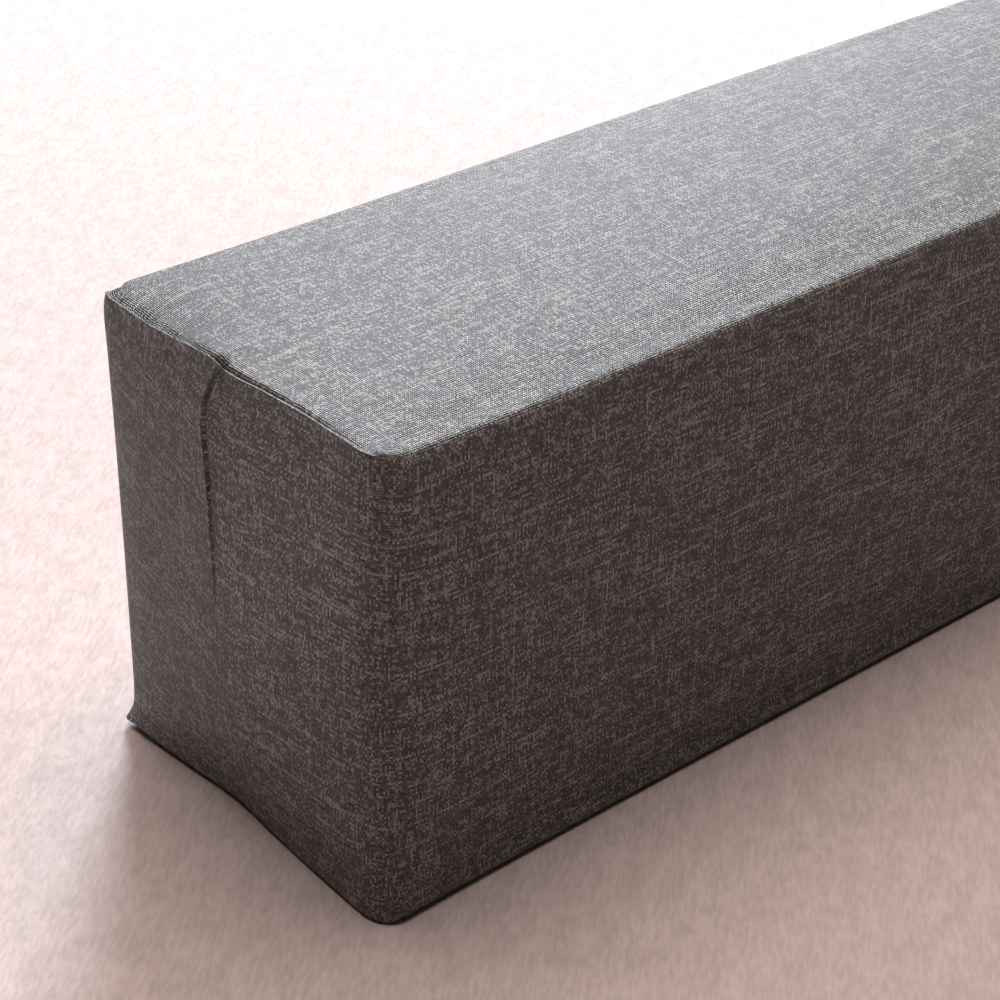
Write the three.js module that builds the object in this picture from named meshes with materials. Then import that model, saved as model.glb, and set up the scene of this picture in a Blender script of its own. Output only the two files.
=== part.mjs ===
// Bed gap filler: a long, tightly filled block in a cover of heathered grey linen-look cloth, which lies along a
// bed's edge. The cloth wraps the top, the sides and the base in one length. Each end is closed by two flaps of
// the side cloth, with an upright seam between them and a seam along the top and the base of the end.
// Units are millimetres and +Z is up. The origin is under the middle of the block on the surface that it lies on.
// X runs along the length. "Front" is -Y, "back" is +Y, and the end at -X is the one with the worn-in folds.
import * as THREE from 'three';
import { mergeVertices } from 'three/addons/utils/BufferGeometryUtils.js';

const { lerp, smoothstep } = THREE.MathUtils;

// Overall size
const LENGTH = 2000;
const WIDTH = 155;
const HEIGHT = 180;

// Radii of the filled edges
const END_CORNER_RADIUS = 13;
const TOP_FOLD_RADIUS = 9;
const BASE_FOLD_RADIUS = 6.5;
const TOP_SEAM_RADIUS = 2.4;
const BASE_SEAM_RADIUS = 3;

// Round an upright edge, the share of the outward direction along the length, squared, at which what belongs to
// the end starts and is whole
const END_SHARE_START = 0.55;
const END_SHARE_WHOLE = 1;

// The same for the base seam's tight edge, which goes round the corner
const BASE_SHARE_WHOLE = 0.5;

// How far the faces swell between their edges. The sides swell less near the ends, which hold them straight, and
// the reaches say how soon what belongs to an end fades along the length.
const SIDE_CROWN = 1.5;
const SIDE_CROWN_KEPT_AT_END = 0.2;
const SIDE_CROWN_REACH = 60;
const TOP_CROWN_FRONT = 4;
const TOP_CROWN_BACK = 1.3;
const END_CROWN = 2.2;
const END_CROWN_REACH = 26;
const TOP_DROP_REACH = 14;
const LEAN_REACH = 80;

// Between its ends the filling leans towards the front: the top by this much, and the walls' feet as much
// backwards. The base itself keeps straight edges.
const LEAN_TO_FRONT = 2.6;
const LEAN_TO_FRONT_REACH = 40;
const LEAN_WHOLE_ABOVE = 12;

// How far in from an end, and up the walls, the base seam lifts the block's lower edge and tucks it in
const BASE_LIFT_REACH_IN = 30;
const BASE_LIFT_REACH_UP = 60;

// The seam along the top of an end: a raised lip on the edge and a crease behind it, at the lip's foot
const LIP_HEIGHT = 0.9;
const LIP_WIDTH = 1.5;
const CREASE_FROM_EDGE = 2.4;
const PUCKER_REACH_DOWN = 7;

// The upright seam of an end: a fold between two flaps, of which one stands proud of the other
const FLAP_ROLL_WIDTH = 15;
const UPRIGHT_CREASE_DEPTH = 0.7;
const UPRIGHT_CREASE_WIDTH = 1.2;
const SEAM_SHIFT_REACH = 60;

// The pointed ears at the corners, where the seams end
const EAR_HEIGHT = 12;
const EAR_SHARPNESS = 3;

// Long, shallow waves of the filling along the block. They turn a little across it, and fade out at the base.
const WAVES = [
  { length: 640, height: 0.55, phase: 0.4 },
  { length: 430, height: 0.3, phase: 2.1 },
];
const WAVE_TURN = 560;
const WAVES_WHOLE_ABOVE = 21;

// The end with the worn-in folds. uprightSeam gives, from the base up, how far the seam wanders sideways and how
// far the back flap stands proud of the front one. baseSeam gives, across the end, how far the lower edge is
// lifted and tucked in. topSeam gives how far the upper edge sinks under the overall height and leans inwards,
// and how deep and wide the crease behind its lip is. The ears are how far the back corners stick out.
const WORN_END = {
  uprightSeam: [
    { height: 0, offset: 0, step: 0 },
    { height: 13, offset: 0.5, step: -0.5 },
    { height: 45, offset: 4.5, step: -0.6 },
    { height: 77, offset: 8.5, step: -0.1 },
    { height: 109, offset: 9, step: 0.5 },
    { height: 137, offset: 10, step: 0.9 },
    { height: 159, offset: 11, step: 1.1 },
    { height: 171, offset: 7, step: 1 },
    { height: 180, offset: 3, step: 0.4 },
  ],
  baseSeam: [
    { across: -57, lift: 0, tuck: 0.3 },
    { across: -40, lift: 0.4, tuck: 1.2 },
    { across: -22, lift: 0.9, tuck: 2.2 },
    { across: -8, lift: 1.6, tuck: 3.2 },
    { across: 4, lift: 2.3, tuck: 4.3 },
    { across: 20, lift: 2.2, tuck: 4.4 },
    { across: 34, lift: 1.8, tuck: 3.4 },
    { across: 55, lift: 2, tuck: 2.6 },
    { across: 70, lift: 3.6, tuck: 1.8 },
  ],
  puckers: [
    { across: 58, reach: 9, depth: 0.5, width: 4 },
    { across: 43, reach: 16, depth: 0.8, width: 4.5 },
    { across: 28, reach: 14, depth: 0.7, width: 4.5 },
    { across: 15, reach: 9, depth: 0.6, width: 3.5 },
    { across: 3, reach: 6, depth: 1, width: 3 },
    { across: -22, reach: 8, depth: 0.4, width: 5 },
    { across: -48, reach: 7, depth: 0.4, width: 5 },
  ],
  topSeam: [
    { across: -72, drop: 2.8, lean: 1.2, depth: 0.5, width: 1.2 },
    { across: -62, drop: 2.4, lean: 1.3, depth: 1, width: 1.1 },
    { across: -41, drop: 2.1, lean: 1.2, depth: 1.1, width: 1.1 },
    { across: -20, drop: 2.4, lean: 0.7, depth: 1.2, width: 1.2 },
    { across: 1, drop: 2.9, lean: 0.1, depth: 1.5, width: 1.4 },
    { across: 8, drop: 1.1, lean: -0.2, depth: 1.5, width: 1.6 },
    { across: 20, drop: 1.4, lean: -0.5, depth: 1, width: 2.4 },
    { across: 39, drop: 2.3, lean: -1, depth: 1, width: 2.8 },
    { across: 62, drop: 1.9, lean: -0.9, depth: 0.9, width: 2.6 },
    { across: 72, drop: 2.2, lean: -0.5, depth: 0.5, width: 2 },
    { across: 77.5, drop: 5, lean: 0, depth: 0.4, width: 2 },
  ],
  upperEar: 0,
  lowerEar: 3.2,
};

// The other end, with straight seams
const NEAT_END = {
  uprightSeam: [
    { height: 0, offset: 0, step: 0 },
    { height: 30, offset: 0, step: 0.4 },
    { height: 150, offset: 0, step: 0.8 },
    { height: 180, offset: 0, step: 0.4 },
  ],
  baseSeam: [{ across: 0, lift: 1, tuck: 0.8 }],
  puckers: [
    { across: 40, reach: 9, depth: 0.4, width: 5 },
    { across: -36, reach: 9, depth: 0.4, width: 5 },
  ],
  topSeam: [
    { across: -77, drop: 1.6, lean: 0, depth: 0.5, width: 1.2 },
    { across: -50, drop: 0.9, lean: 0, depth: 0.9, width: 1.2 },
    { across: 0, drop: 0.5, lean: 0, depth: 0.9, width: 1.2 },
    { across: 50, drop: 0.9, lean: 0, depth: 0.9, width: 1.2 },
    { across: 77, drop: 1.6, lean: 0, depth: 0.5, width: 1.2 },
  ],
  upperEar: 0.4,
  lowerEar: 1,
};

// The grid that covers the block: distances in from each face where its lines lie close together, the lines
// beside the upright seam, and the number of even steps between
const LINES_FROM_END = [0, 1.2, 2.4, 4.6, 8.6, 13, 20, 30, 45, 65];
const LINES_FROM_SIDE = [0, 2.4, 5.2, 8.6, 13];
const LINES_FROM_TOP = [0, 1.2, 2.4, 4.6, 9, 16];
const LINES_FROM_SEAM = [0.6, 2.2, 5];
const STEPS_ALONG = 17;
const STEPS_ACROSS_A_FLAP = 8;
const STEPS_UP = 10;

const CLOTH_GREY = 0x6f6b6a;
const CLOTH_ROUGHNESS = 0.95;

// A bell of height 1 and half-width about 1
function bell(t) {
  return Math.exp(-t * t);
}

// The value of a column at a place along a table's key, straight between rows and level past its ends
function along(rows, key, column, at) {
  let low = rows[0];
  if (at <= low[key]) return low[column];
  for (const high of rows.slice(1)) {
    if (at < high[key]) {
      return lerp(low[column], high[column], (at - low[key]) / (high[key] - low[key]));
    }
    low = high;
  }
  return low[column];
}

function evenSteps(from, to, count) {
  return Array.from({ length: count + 1 }, (_, step) => lerp(from, to, step / count));
}

// Lines from -size/2 to size/2: close ones inside both faces, and the middle ones given
function gridLines(size, closeLines, middle) {
  const low = closeLines.slice(0, -1).map((inset) => inset - size / 2);
  const high = low.map((line) => -line).reverse();
  return [...low, ...middle, ...high];
}

function middleSteps(size, closeLines, count) {
  const half = size / 2 - closeLines.at(-1);
  return evenSteps(-half, half, count);
}

function acrossMiddle() {
  const half = WIDTH / 2 - LINES_FROM_SIDE.at(-1);
  const right = evenSteps(LINES_FROM_SEAM.at(-1), half, STEPS_ACROSS_A_FLAP);
  const beside = [...LINES_FROM_SEAM.slice(0, -1), ...right];
  return [...beside.map((line) => -line).reverse(), ...beside];
}

// Rounds the edge between a wall and a face. Both distances are inwards on the sharp block. They come back as
// they lie on the arc, with the shares that the wall's and the face's directions have in the normal there.
function roundEdge(fromWall, fromFace, radius) {
  const wallCentre = Math.max(fromWall, radius);
  const faceCentre = Math.max(fromFace, radius);
  const wall = wallCentre - fromWall;
  const face = faceCentre - fromFace;
  const length = Math.hypot(wall, face);
  return {
    fromWall: wallCentre - (radius * wall) / length,
    fromFace: faceCentre - (radius * face) / length,
    wallShare: wall / length,
    faceShare: face / length,
  };
}

// The lip on the top edge of an end, and the crease at its foot. acrossEdge is 0 on the edge and grows inwards
// over the top.
function topSeamRelief(end, acrossEdge, across) {
  const depth = along(end.topSeam, 'across', 'depth', across);
  const width = along(end.topSeam, 'across', 'width', across);
  const lip = LIP_HEIGHT * bell(acrossEdge / LIP_WIDTH);
  const crease = depth * bell((acrossEdge - CREASE_FROM_EDGE) / width);
  return lip - crease;
}

// Small pleats that the top seam gathers. They run inwards over the top, and a little way down the end.
function puckerRelief(end, acrossEdge, across) {
  let relief = 0;
  for (const pucker of end.puckers) {
    const reach = acrossEdge > 0 ? pucker.reach : PUCKER_REACH_DOWN;
    const fade = Math.exp(-Math.abs(acrossEdge) / reach);
    relief -= pucker.depth * fade * bell((across - pucker.across) / pucker.width);
  }
  return relief;
}

// The fold of the upright seam: fromSeam is positive on the back flap, which stands proud where step is positive
function uprightSeamRelief(end, fromSeam, height) {
  const step = along(end.uprightSeam, 'height', 'step', height);
  const flap = (Math.sign(fromSeam) * step * Math.exp(-Math.abs(fromSeam) / FLAP_ROLL_WIDTH)) / 2;
  return flap - UPRIGHT_CREASE_DEPTH * bell(fromSeam / UPRIGHT_CREASE_WIDTH);
}

function waveRelief(x, y, z) {
  let relief = 0;
  for (const wave of WAVES) {
    const turn = x / wave.length + (y + z) / WAVE_TURN;
    relief += wave.height * (Math.sin(2 * Math.PI * turn + wave.phase) - 1) / 2;
  }
  return relief;
}

// Where a point of the sharp block's surface lies on the filled one
function filledPoint(x, y, z) {
  const end = x < 0 ? WORN_END : NEAT_END;
  const endDirection = Math.sign(x);
  const sideDirection = Math.sign(y);
  const fromEnd = LENGTH / 2 - Math.abs(x);
  const fromSide = WIDTH / 2 - Math.abs(y);
  const upper = z > HEIGHT / 2;

  // Sideways, the middle lines follow the upright seam near the end
  const flat = WIDTH / 2 - END_CORNER_RADIUS;
  const nearSeam = Math.max(1 - (y / flat) ** 2, 0) ** 2;
  const seamOffset = along(end.uprightSeam, 'height', 'offset', z);
  const across = y + seamOffset * nearSeam * Math.max(1 - fromEnd / SEAM_SHIFT_REACH, 0);

  // Seen from above, the outline is a rectangle with round corners
  const pastX = Math.max(END_CORNER_RADIUS - fromEnd, 0) * endDirection;
  const pastY = Math.max(END_CORNER_RADIUS - fromSide, 0) * sideDirection;
  const outward = new THREE.Vector2(pastX, pastY).normalize();
  const endShare = smoothstep(outward.x ** 2, END_SHARE_START, END_SHARE_WHOLE);
  const baseShare = smoothstep(outward.x ** 2, 0, BASE_SHARE_WHOLE);

  // The edges at the top and the base are rounded, tighter where a seam runs along them
  const radius = upper
    ? lerp(TOP_FOLD_RADIUS, TOP_SEAM_RADIUS, endShare)
    : lerp(BASE_FOLD_RADIUS, BASE_SEAM_RADIUS, baseShare);
  const fromWall = Math.min(fromEnd, fromSide);
  const fromFace = upper ? HEIGHT - z : z;
  const edge = roundEdge(fromWall, fromFace, radius);
  const reach = END_CORNER_RADIUS - edge.fromWall;
  const height = upper ? HEIGHT - edge.fromFace : edge.fromFace;
  const point = new THREE.Vector3(x - pastX + outward.x * reach, across - pastY + outward.y * reach, height);

  // Seams, puckers and waves stand out along the normal. The base stays flat.
  let relief = 0;
  if (upper) {
    const onTop = fromFace === 0;
    relief += endShare * topSeamRelief(end, onTop ? fromWall : -fromFace, across);
    relief += (onTop ? 1 : endShare) * puckerRelief(end, onTop ? fromEnd : -fromFace, across);
  }
  relief += uprightSeamRelief(end, y, z) * edge.wallShare * endShare;
  const wavy = upper ? 1 : edge.wallShare * smoothstep(z, 0, WAVES_WHOLE_ABOVE);
  relief += waveRelief(point.x, point.y, point.z) * wavy;
  const normal = new THREE.Vector3(
    outward.x * edge.wallShare,
    outward.y * edge.wallShare,
    upper ? edge.faceShare : -edge.faceShare,
  );
  point.addScaledVector(normal, relief);

  // The ears stick out at the back corners
  const diagonal = y > 0 ? (2 * Math.abs(outward.x * outward.y)) ** EAR_SHARPNESS : 0;
  const ear = (upper ? end.upperEar : end.lowerEar) * diagonal * Math.max(1 - fromFace / EAR_HEIGHT, 0) ** 2;
  point.x += outward.x * ear;
  point.y += outward.y * ear;

  // The faces swell between their edges, and the upper corners sink
  const sideways = point.y / (WIDTH / 2);
  const upwards = (2 * point.z) / HEIGHT - 1;
  const endSwell = 1 - (1 - sideways ** 2) * (1 - upwards ** 2);
  const sideCrown = SIDE_CROWN * (1 - (1 - SIDE_CROWN_KEPT_AT_END) * Math.exp(-fromEnd / SIDE_CROWN_REACH));
  const endDrop = along(end.topSeam, 'across', 'drop', across);
  const topCrown = sideDirection < 0 ? TOP_CROWN_FRONT : TOP_CROWN_BACK;
  const drop = lerp(topCrown * sideways ** 2, endDrop, Math.exp(-fromEnd / TOP_DROP_REACH));
  const lean = along(end.topSeam, 'across', 'lean', across) * Math.exp(-fromEnd / LEAN_REACH);
  point.y *= 1 - (sideCrown / (WIDTH / 2)) * upwards ** 2;
  const offBase = smoothstep(point.z, 0, LEAN_WHOLE_ABOVE);
  point.y -= LEAN_TO_FRONT * upwards * offBase * (1 - Math.exp(-fromEnd / LEAN_TO_FRONT_REACH));
  point.x -= endDirection * END_CROWN * endSwell * Math.exp(-fromEnd / END_CROWN_REACH);
  point.x -= endDirection * lean * (point.z / HEIGHT) ** 2;
  point.z *= 1 - drop / HEIGHT;

  // The base seam lifts the end's lower edge and tucks it in. Further in, the base is flat.
  const lift = along(end.baseSeam, 'across', 'lift', across);
  const tuck = along(end.baseSeam, 'across', 'tuck', across);
  const liftIn = Math.max(1 - fromEnd / BASE_LIFT_REACH_IN, 0) ** 2;
  const liftUp = Math.max(1 - point.z / BASE_LIFT_REACH_UP, 0) ** 2;
  point.z += lift * liftIn * liftUp;
  point.x -= endDirection * tuck * liftIn * liftUp;
  return point;
}

function filledBlock() {
  const linesAlong = gridLines(LENGTH, LINES_FROM_END, middleSteps(LENGTH, LINES_FROM_END, STEPS_ALONG));
  const linesAcross = gridLines(WIDTH, LINES_FROM_SIDE, acrossMiddle());
  const linesUp = gridLines(HEIGHT, LINES_FROM_TOP, middleSteps(HEIGHT, LINES_FROM_TOP, STEPS_UP));
  const counts = [linesAlong, linesAcross, linesUp].map((lines) => lines.length - 1);
  const block = new THREE.BoxGeometry(1, 1, 1, ...counts);
  block.deleteAttribute('normal');
  block.deleteAttribute('uv');
  const skin = mergeVertices(block);
  const places = skin.getAttribute('position');
  const pick = (lines, share) => lines[Math.round((share + 0.5) * (lines.length - 1))];
  for (let i = 0; i < places.count; i += 1) {
    const x = pick(linesAlong, places.getX(i));
    const y = pick(linesAcross, places.getY(i));
    const z = pick(linesUp, places.getZ(i)) + HEIGHT / 2;
    places.setXYZ(i, ...filledPoint(x, y, z));
  }
  return skin;
}

function namedMesh(name, geometry, material) {
  const mesh = new THREE.Mesh(geometry, material);
  mesh.name = name;
  return mesh;
}

const cloth = new THREE.MeshStandardMaterial({ color: CLOTH_GREY, roughness: CLOTH_ROUGHNESS, metalness: 0 });

const bedGapFiller = new THREE.Group();
bedGapFiller.add(namedMesh('filled_block', filledBlock(), cloth));

export default bedGapFiller;
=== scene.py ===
import math

import bpy
import numpy as np
from mathutils import Matrix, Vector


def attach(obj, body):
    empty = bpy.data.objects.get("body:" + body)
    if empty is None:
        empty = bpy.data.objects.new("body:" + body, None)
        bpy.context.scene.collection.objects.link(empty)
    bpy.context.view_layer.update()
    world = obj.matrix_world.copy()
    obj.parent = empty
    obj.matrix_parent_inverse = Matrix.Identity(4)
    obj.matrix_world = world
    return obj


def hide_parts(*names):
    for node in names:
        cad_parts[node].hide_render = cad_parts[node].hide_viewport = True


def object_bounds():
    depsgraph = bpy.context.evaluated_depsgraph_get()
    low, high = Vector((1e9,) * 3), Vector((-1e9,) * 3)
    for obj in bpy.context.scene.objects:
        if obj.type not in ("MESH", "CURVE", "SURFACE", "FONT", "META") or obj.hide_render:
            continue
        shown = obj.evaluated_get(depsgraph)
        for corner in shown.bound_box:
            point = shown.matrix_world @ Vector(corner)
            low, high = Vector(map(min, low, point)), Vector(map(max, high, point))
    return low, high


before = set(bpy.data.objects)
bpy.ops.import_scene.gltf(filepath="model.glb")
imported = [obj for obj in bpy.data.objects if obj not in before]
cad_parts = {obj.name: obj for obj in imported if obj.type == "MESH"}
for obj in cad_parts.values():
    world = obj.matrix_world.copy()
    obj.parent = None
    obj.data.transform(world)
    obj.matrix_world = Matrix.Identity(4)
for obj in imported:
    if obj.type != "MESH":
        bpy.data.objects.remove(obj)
CAD_LOW, CAD_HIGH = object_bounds()

# A bed gap filler: a long, tightly filled block in a cover of heathered grey linen-look cloth. The cloth
# wraps the top, the sides and the base. Each end is closed by two flaps of the side cloth with an upright
# seam between them, and by a seam along the top and the base of the end. X runs along the length, and the
# end at -X is the worn one. Finished meshes are in metres. The sewing sizes below are in millimetres.

bl_info = {
    "name": "Bed gap filler",
    "version": (1, 0, 0),
    "blender": (4, 5, 0),
    "location": "View3D > Sidebar > Gap filler",
    "description": "Makes a filled block in a linen-look cover, with its seams, swell and weave",
    "category": "Add Mesh",
}

MM = 0.001
LEAST_LENGTH = 1e-9
NODE = "filled_block"
PIECE = "filled_cover"

# The worn end. Heights go up from the base, and places across run from the front side to the back one.
# offset: how far the upright seam wanders sideways. step: how far the back flap stands proud of the front
# one. lift and tuck: how far the lower edge is lifted and drawn in. drop and lean: how far the upper edge
# sinks and leans inwards. depth and width: of the crease behind the lip of the top seam, or of a pucker.
# reach: how soon a pucker fades. Ears: how far a back corner stands out, or is drawn in where below 0.
WORN_END = {
    "upright_seam": {
        "height": (0, 13, 45, 77, 109, 137, 159, 171, 180),
        "offset": (0, 0.5, 4.5, 8.5, 9, 10, 11, 7, 3),
        "step": (0, -0.5, -0.6, -0.1, 0.5, 0.9, 1.1, 1, 0.4),
    },
    "base_seam": {
        "across": (-58, -40, -22, -8, 4, 20, 34, 55, 70),
        "lift": (0, 0.1, 0.2, 0.3, 0.5, 0.6, 0.6, 1.2, 2.8),
        "tuck": (0.3, 1.2, 2.2, 3.2, 4.3, 4.4, 3.2, 1.6, 0.2),
    },
    "top_seam": {
        "across": (-72, -62, -41, -20, 1, 8, 20, 39, 62, 72, 77.5),
        "drop": (2.8, 2.4, 2.1, 2.4, 2.9, 1.1, 1.4, 2.3, 1.9, 2.2, 5),
        "lean": (1.2, 1.3, 1.2, 0.7, 0.1, -0.2, -0.5, -1, -0.9, -0.5, 0),
        "depth": (0.2, 0.5, 1, 1.2, 1.5, 1.5, 1, 1, 0.9, 0.5, 0.4),
        "width": (1.2, 0.9, 0.9, 0.9, 1.2, 1.5, 2.2, 2.6, 2.4, 1.8, 1.5),
    },
    "puckers": {
        "across": (58, 43, 28, 15, 3, -22, -48),
        "reach": (9, 16, 14, 9, 6, 8, 7),
        "depth": (0.5, 0.8, 1.1, 0.7, 1, 0.4, 0.4),
        "width": (4, 4.5, 3.5, 3, 3, 5, 5),
    },
    "upper_ear": -1.7,
    "lower_ear": 3.6,
}

# The other end, with straight seams
NEAT_END = {
    "upright_seam": {"height": (0, 30, 150, 180), "offset": (0, 0, 0, 0), "step": (0, 0.4, 0.8, 0.4)},
    "base_seam": {"across": (-70, 70), "lift": (1, 1), "tuck": (0.8, 0.8)},
    "top_seam": {
        "across": (-77, -50, 0, 50, 77),
        "drop": (1.6, 0.9, 0.5, 0.9, 1.6),
        "lean": (0, 0, 0, 0, 0),
        "depth": (0.5, 0.9, 0.9, 0.9, 0.5),
        "width": (1, 1, 1, 1, 1),
    },
    "puckers": {"across": (40, -36), "reach": (9, 9), "depth": (0.4, 0.4), "width": (5, 5)},
    "upper_ear": 0.4,
    "lower_ear": 1,
}

# How the crowns, drops, leans and lifts fade away from an end, and how far the filling leans to the front
# between the ends
SIDE_CROWN_KEPT_AT_END = 0.2
SIDE_CROWN_REACH = 60
END_CROWN_REACH = 26
TOP_DROP_REACH = 14
LEAN_REACH = 80
LEAN_TO_FRONT = 2.6
LEAN_TO_FRONT_REACH = 40
LEAN_WHOLE_ABOVE = 12
BASE_LIFT_REACH_IN = 30
BASE_LIFT_REACH_UP = 60
SEAM_SHIFT_REACH = 60
PUCKER_REACH_DOWN = 7

# Round an upright edge, the share of the outward direction along the length, squared, at which what belongs
# to the end starts and is whole, and at which the base has its seam's radius
END_SHARE_START = 0.55
END_SHARE_WHOLE = 1
BASE_SHARE_WHOLE = 0.5

# The lip of the top seam, the crease at its foot, and the pull of its stitches
LIP_WIDTH = 1.2
CREASE_FROM_EDGE = 2.4
STITCH_PITCH = 3.2
STITCH_PULL = 0.3

# The fold of the upright seam. Its crease keeps the least share of its depth low on the end.
FLAP_ROLL_WIDTH = 15
UPRIGHT_CREASE_WIDTH = 0.4
UPRIGHT_CREASE_DEPTH = 0.5
UPRIGHT_CREASE_LEAST = 0.2
UPRIGHT_CREASE_START = 70
UPRIGHT_CREASE_WHOLE = 130
FOLD_ROUND = 0.8

# The ears at the back corners: their height, how narrow each is, and how much smaller the base's radius is
# at the lower one
EAR_HEIGHT = 12
LOWER_EAR_SHARPNESS = 5
UPPER_EAR_SHARPNESS = 1
EAR_POINT = 0.8

# Long, shallow waves of the filling along the block, and how far across it they come one wave further
WAVES = {"length": (640, 430), "height": (0.55, 0.3), "phase": (0.4, 2.1)}
WAVE_TURN = 560
WAVES_WHOLE_ABOVE = 21

# The cover's grid lines along, across from a side to the middle, and up: the step at the start and the end
# of each, how fast it grows away from them, and the most that it grows to
GRID_ALONG = {"at_start": 0.4, "at_end": 0.6, "growth": 0.1, "longest": 17}
GRID_ACROSS = {"at_start": 1, "at_end": 0.25, "growth": 0.15, "longest": 1.7}
GRID_UP = {"at_start": 0.8, "at_end": 0.4, "growth": 0.12, "longest": 2}
SAMPLES_OF_SPACING = 20001

# The cloth simulation that swells the cover: the cell of its coarse copy, its pressure and length, the
# furthest that a point may move, how low the faces' middles start, and where the swell starts and is whole
COARSE_CELL = 10
SWELL_PRESSURE = 4
SWELL_FRAMES = 20
SWELL_CAP = 1.8
SWELL_ROOM = 1
SWELL_START_ABOVE = 6
SWELL_WHOLE_ABOVE = 20

# The grain of the flaps: how far the threads that run round an end have dropped, by distance round it
BACK_FLAP_GRAIN = {"distance": (0, 25, 50, 65, 90), "drop": (0, 4, 10, 15, 26)}
FRONT_FLAP_GRAIN = {"distance": (0, 40, 90), "drop": (0, 1.5, 5)}

# How steeply the worn end's seam turns the long threads of the top's back half, how soon that fades from
# the end, and how far from the middle it is whole
TOP_GRAIN_TURN = 0.75
TOP_GRAIN_REACH = 14
TOP_GRAIN_WHOLE = 35

# The painted shade in the seams' creases and puckers: the stitches' ripple, how much narrower than the crease
# its shade is, the puckers' share, the upright seam's least, the step past which that grows, and the darkest
# of all
STITCH_SHADE = 0.6
CREASE_SHADE_NARROWER = 1.3
PUCKER_SHADE = 0.7
UPRIGHT_SHADE = 0.05
UPRIGHT_SHADE_STEP = 0.3
DARKEST_SHADE = 2

# Where the top seam gathers the cloth: how soon that fades from the end, between which places across it
# starts and is whole, its share at the neat end, and the distance between the fine pleats
GATHERS_REACH = 10
GATHERS_START = -5
GATHERS_WHOLE = 25
NEAT_END_GATHERS = 0.3
PLEAT_PITCH = 2

CLOTH_RUN = "cloth_run"
SEAM_SHADE = "seam_shade"
GATHERS = "gathers"


def nearest_5_mm(size):
    """A length in metres, rounded to 5 mm, because crowns and lips change the box by about a millimetre."""
    return round(size / MM / 5) * 5 * MM


def length_setting(name, description, default, **more):
    """A length, in metres, that a user can change."""
    return bpy.props.FloatProperty(name=name, description=description, default=default, unit="LENGTH", **more)


def colour_setting(name, description, default):
    """A colour that a user can change."""
    return bpy.props.FloatVectorProperty(
        name=name, description=description, default=default, subtype="COLOR", min=0, max=1
    )


def amount_setting(name, description, default, **more):
    """A power, weight or other amount that a user can change."""
    return bpy.props.FloatProperty(name=name, description=description, default=default, min=0, **more)


class CoverSizes(bpy.types.PropertyGroup):
    length: length_setting("Length", "From end to end of the block", nearest_5_mm(CAD_HIGH.x - CAD_LOW.x))
    width: length_setting("Width", "From side to side of the block", nearest_5_mm(CAD_HIGH.y - CAD_LOW.y))
    height: length_setting("Height", "From the base to the top", nearest_5_mm(CAD_HIGH.z - CAD_LOW.z))
    corner_radius: length_setting("Corner radius", "Radius of the four upright edges", 13 * MM)
    back_fold_radius: length_setting("Back fold radius", "Radius of the top's long back edge", 9 * MM)
    front_fold_radius: length_setting("Front fold radius", "Radius of the top's long front edge", 5.5 * MM)
    base_fold_radius: length_setting("Base fold radius", "Radius of the long edges at the base", 6.5 * MM)
    top_seam_radius: length_setting("Top seam radius", "Radius of an end's upper edge", 2.4 * MM)
    base_seam_radius: length_setting("Base seam radius", "Radius of an end's lower edge", 2 * MM)
    side_crown: length_setting("Side crown", "How far the sides swell past their edges", 1.5 * MM)
    top_crown_front: length_setting("Front crown", "How far the top sinks to its front edge", 4 * MM)
    top_crown_back: length_setting("Back crown", "How far the top sinks to its back edge", 1.3 * MM)
    end_crown: length_setting("End crown", "How far the ends swell past their corners", 2.2 * MM)
    lip_height: length_setting("Lip height", "How far the lip of the top seam stands up", 0.9 * MM)


class ClothLooks(bpy.types.PropertyGroup):
    dark_yarn: colour_setting("Dark yarn", "The darkest fibres of the heathered yarn", (0.007, 0.007, 0.007))
    grey_yarn: colour_setting("Grey yarn", "The common tone of the heathered yarn", (0.098, 0.092, 0.091))
    pale_yarn: colour_setting("Pale yarn", "The palest fibres and the slubs", (0.44, 0.425, 0.42))
    cross_pitch: length_setting("Cross pitch", "Between the threads that run round", 0.79 * MM, precision=5)
    long_pitch: length_setting("Long pitch", "Between the threads that run along", 0.93 * MM, precision=5)
    thread_relief: length_setting("Thread relief", "How far a thread stands up", 0.4 * MM, precision=5)
    slub_amount: amount_setting("Slubs", "How strongly the thick, pale stretches of yarn show", 1, max=2)
    fuzz: amount_setting("Fuzz", "Soft sheen of the fibre ends", 0.12, max=1, subtype="FACTOR")


class StageLooks(bpy.types.PropertyGroup):
    floor_colour: colour_setting("Floor colour", "Colour of the plain floor", (0.8, 0.71, 0.7))
    floor_reach: length_setting("Floor reach", "How far the floor goes from its middle", 12)
    key_power: amount_setting("Key light", "Power of the soft light from behind, in watts", 224)
    overhead_power: amount_setting("Overhead light", "Power of the wide warm light above, in watts", 57)
    room_light: amount_setting("Room light", "Strength of the even, warm light from all round", 0.02)
    focal_length: amount_setting(
        "Focal length", "Of the camera, in millimetres, on a 36 mm sensor", 94.56, unit="CAMERA"
    )


def bell(t):
    """exp(-t squared): 1 in the middle, about a third at 1."""
    return np.exp(-t * t)


def smooth_share(value, low, high):
    """0 up to low and 1 from high on, with 3 t squared - 2 t cubed between them."""
    t = np.clip((value - low) / (high - low), 0, 1)
    return t * t * (3 - 2 * t)


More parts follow.
